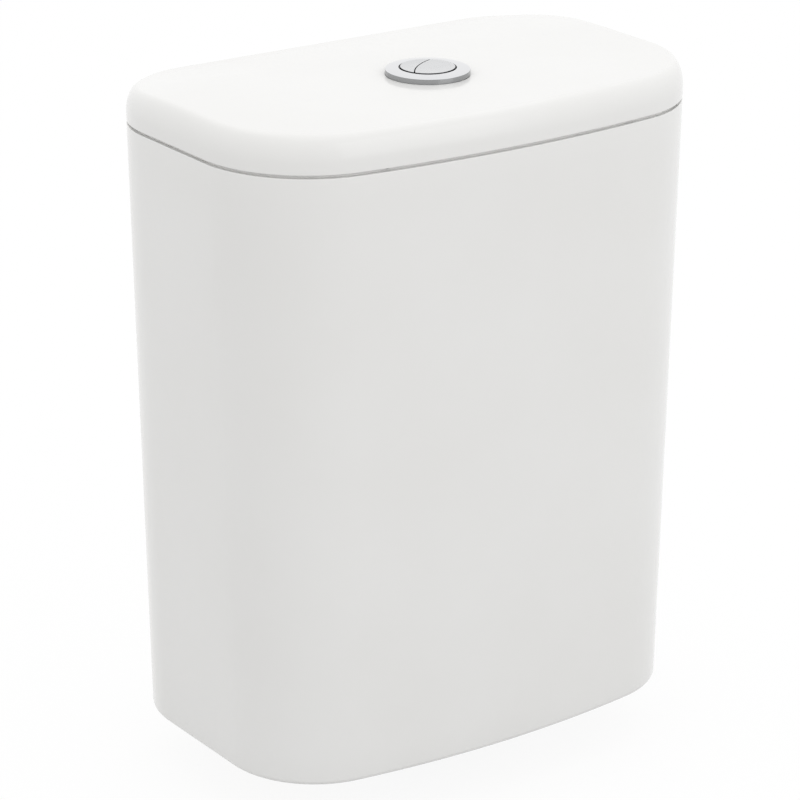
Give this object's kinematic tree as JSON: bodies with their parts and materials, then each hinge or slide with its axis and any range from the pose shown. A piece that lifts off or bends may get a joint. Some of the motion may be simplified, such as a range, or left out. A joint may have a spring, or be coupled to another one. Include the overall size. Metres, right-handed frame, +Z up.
{
  "type": "toilet cistern",
  "caption": "Close-coupled ceramic toilet cistern with a loose lid, a split push button, a flush valve lifted by rockers and a bottom-entry fill valve.",
  "frame": {"origin": "outlet axis on the plane of the underside that rests on the pan", "axes": "+X to the right seen from the front, -Y to the front, +Y to the wall, +Z up"},
  "size_m": [0.36, 0.225, 0.4856],
  "materials": {
    "china": "gloss white glaze over vitreous china",
    "chrome": "bright chrome plate",
    "button_chrome": "satin chrome plate on moulded caps",
    "white_plastic": "white moulded plastic",
    "grey_plastic": "mid grey moulded plastic",
    "blue_plastic": "blue moulded plastic",
    "black_rubber": "black rubber",
    "red_seal": "red silicone rubber",
    "foam_rubber": "closed-cell black foam rubber",
    "fibre": "pressed red fibre",
    "brass": "turned brass",
    "zinc_steel": "zinc plated steel",
    "stainless": "drawn stainless steel"
  },
  "bodies": {
    "cistern": {"tank": "china", "lid_buffers": "black_rubber", "flush_valve_base": "white_plastic", "base_seal_washer": "black_rubber", "outlet_back_nut": "white_plastic", "pan_gasket": "foam_rubber", "valve_cage": "white_plastic", "tower_frame": "white_plastic", "rocker_pin": "stainless", "float_bracket": "white_plastic", "pan_bolts": "zinc_steel", "bolt_cone_washers": "black_rubber", "bolt_plate_washers": "zinc_steel", "bolt_outer_washers": "black_rubber", "bolt_hex_nuts": "zinc_steel", "inlet_tail": "brass", "inlet_seal_washer": "black_rubber", "inlet_fibre_washer": "fibre", "inlet_back_nut": "brass", "inlet_filter": "grey_plastic", "riser_lower": "white_plastic", "riser_upper": "white_plastic", "riser_lock_nut": "grey_plastic", "fill_head_body": "white_plastic", "fill_diaphragm": "black_rubber", "fill_head_cap": "grey_plastic", "arm_pin": "stainless"},
    "lid_set": {"lid": "china", "button_bezel": "chrome", "button_housing": "white_plastic", "bezel_gasket": "black_rubber", "housing_washer": "black_rubber", "housing_nut": "white_plastic", "full_button_spring": "stainless", "half_button_spring": "stainless"},
    "full_button_set": {"full_button": "button_chrome", "full_push_rod": "blue_plastic"},
    "half_button_set": {"half_button": "button_chrome", "half_push_rod": "white_plastic"},
    "full_rocker_body": {"full_rocker": "blue_plastic"},
    "half_rocker_body": {"half_rocker": "grey_plastic"},
    "stem": {"stem_tube": "white_plastic", "seal_carrier": "grey_plastic", "outlet_seal": "red_seal", "stem_float": "grey_plastic", "stem_yoke": "blue_plastic"},
    "half_lifter_body": {"half_lifter": "grey_plastic"},
    "half_float_body": {"half_float": "blue_plastic"},
    "fill_float": {"float_cup": "grey_plastic", "float_rod": "white_plastic", "rod_clip": "blue_plastic"},
    "float_arm_body": {"float_arm": "white_plastic"}
  },
  "joints": [
    {"name": "lid_lift", "type": "slide", "parent": "cistern", "child": "lid_set", "axis": [0, 0, 1], "range_m": [0, 0.12]},
    {"name": "full_button_press", "type": "slide", "parent": "lid_set", "child": "full_button_set", "axis": [0, 0, -1], "range_m": [0, 0.006], "stiffness_N_per_m": 400, "springref_m": -0.006, "deforming": ["full_button_spring"]},
    {"name": "half_button_press", "type": "slide", "parent": "lid_set", "child": "half_button_set", "axis": [0, 0, -1], "range_m": [0, 0.006], "stiffness_N_per_m": 300, "springref_m": -0.003, "deforming": ["half_button_spring"]},
    {"name": "full_rocker_pivot", "type": "hinge", "parent": "cistern", "child": "full_rocker_body", "pos_m": [0, 0, 0.334], "axis": [0.8018, 0.5976, 0], "range_deg": [0, 32.71]},
    {"name": "half_rocker_pivot", "type": "hinge", "parent": "cistern", "child": "half_rocker_body", "pos_m": [0, 0, 0.334], "axis": [-0.8018, -0.5976, 0], "range_deg": [0, 32.71]},
    {"name": "stem_lift", "type": "slide", "parent": "cistern", "child": "stem", "axis": [0, 0, 1], "range_m": [0, 0.008]},
    {"name": "half_lifter_lift", "type": "slide", "parent": "cistern", "child": "half_lifter_body", "axis": [0, 0, 1], "range_m": [0, 0.008]},
    {"name": "half_float_slide", "type": "slide", "parent": "cistern", "child": "half_float_body", "axis": [0, 0, 1], "range_m": [0, 0.012]},
    {"name": "fill_float_rise", "type": "slide", "parent": "cistern", "child": "fill_float", "axis": [0, 0, 1], "range_m": [0, 0.014]},
    {"name": "float_arm_pivot", "type": "hinge", "parent": "cistern", "child": "float_arm_body", "pos_m": [-0.119, 0.02, 0.368], "axis": [0, -1, 0], "range_deg": [0, 24.1]}
  ],
  "couplings": [
    {"joint": "full_rocker_pivot", "follows": "full_button_press", "rad_per_m": 95},
    {"joint": "stem_lift", "follows": "full_button_press", "ratio": 1.3333},
    {"joint": "half_rocker_pivot", "follows": "half_button_press", "rad_per_m": 95},
    {"joint": "half_lifter_lift", "follows": "half_button_press", "ratio": 1.3333},
    {"joint": "float_arm_pivot", "follows": "fill_float_rise", "rad_per_m": 30}
  ]
}
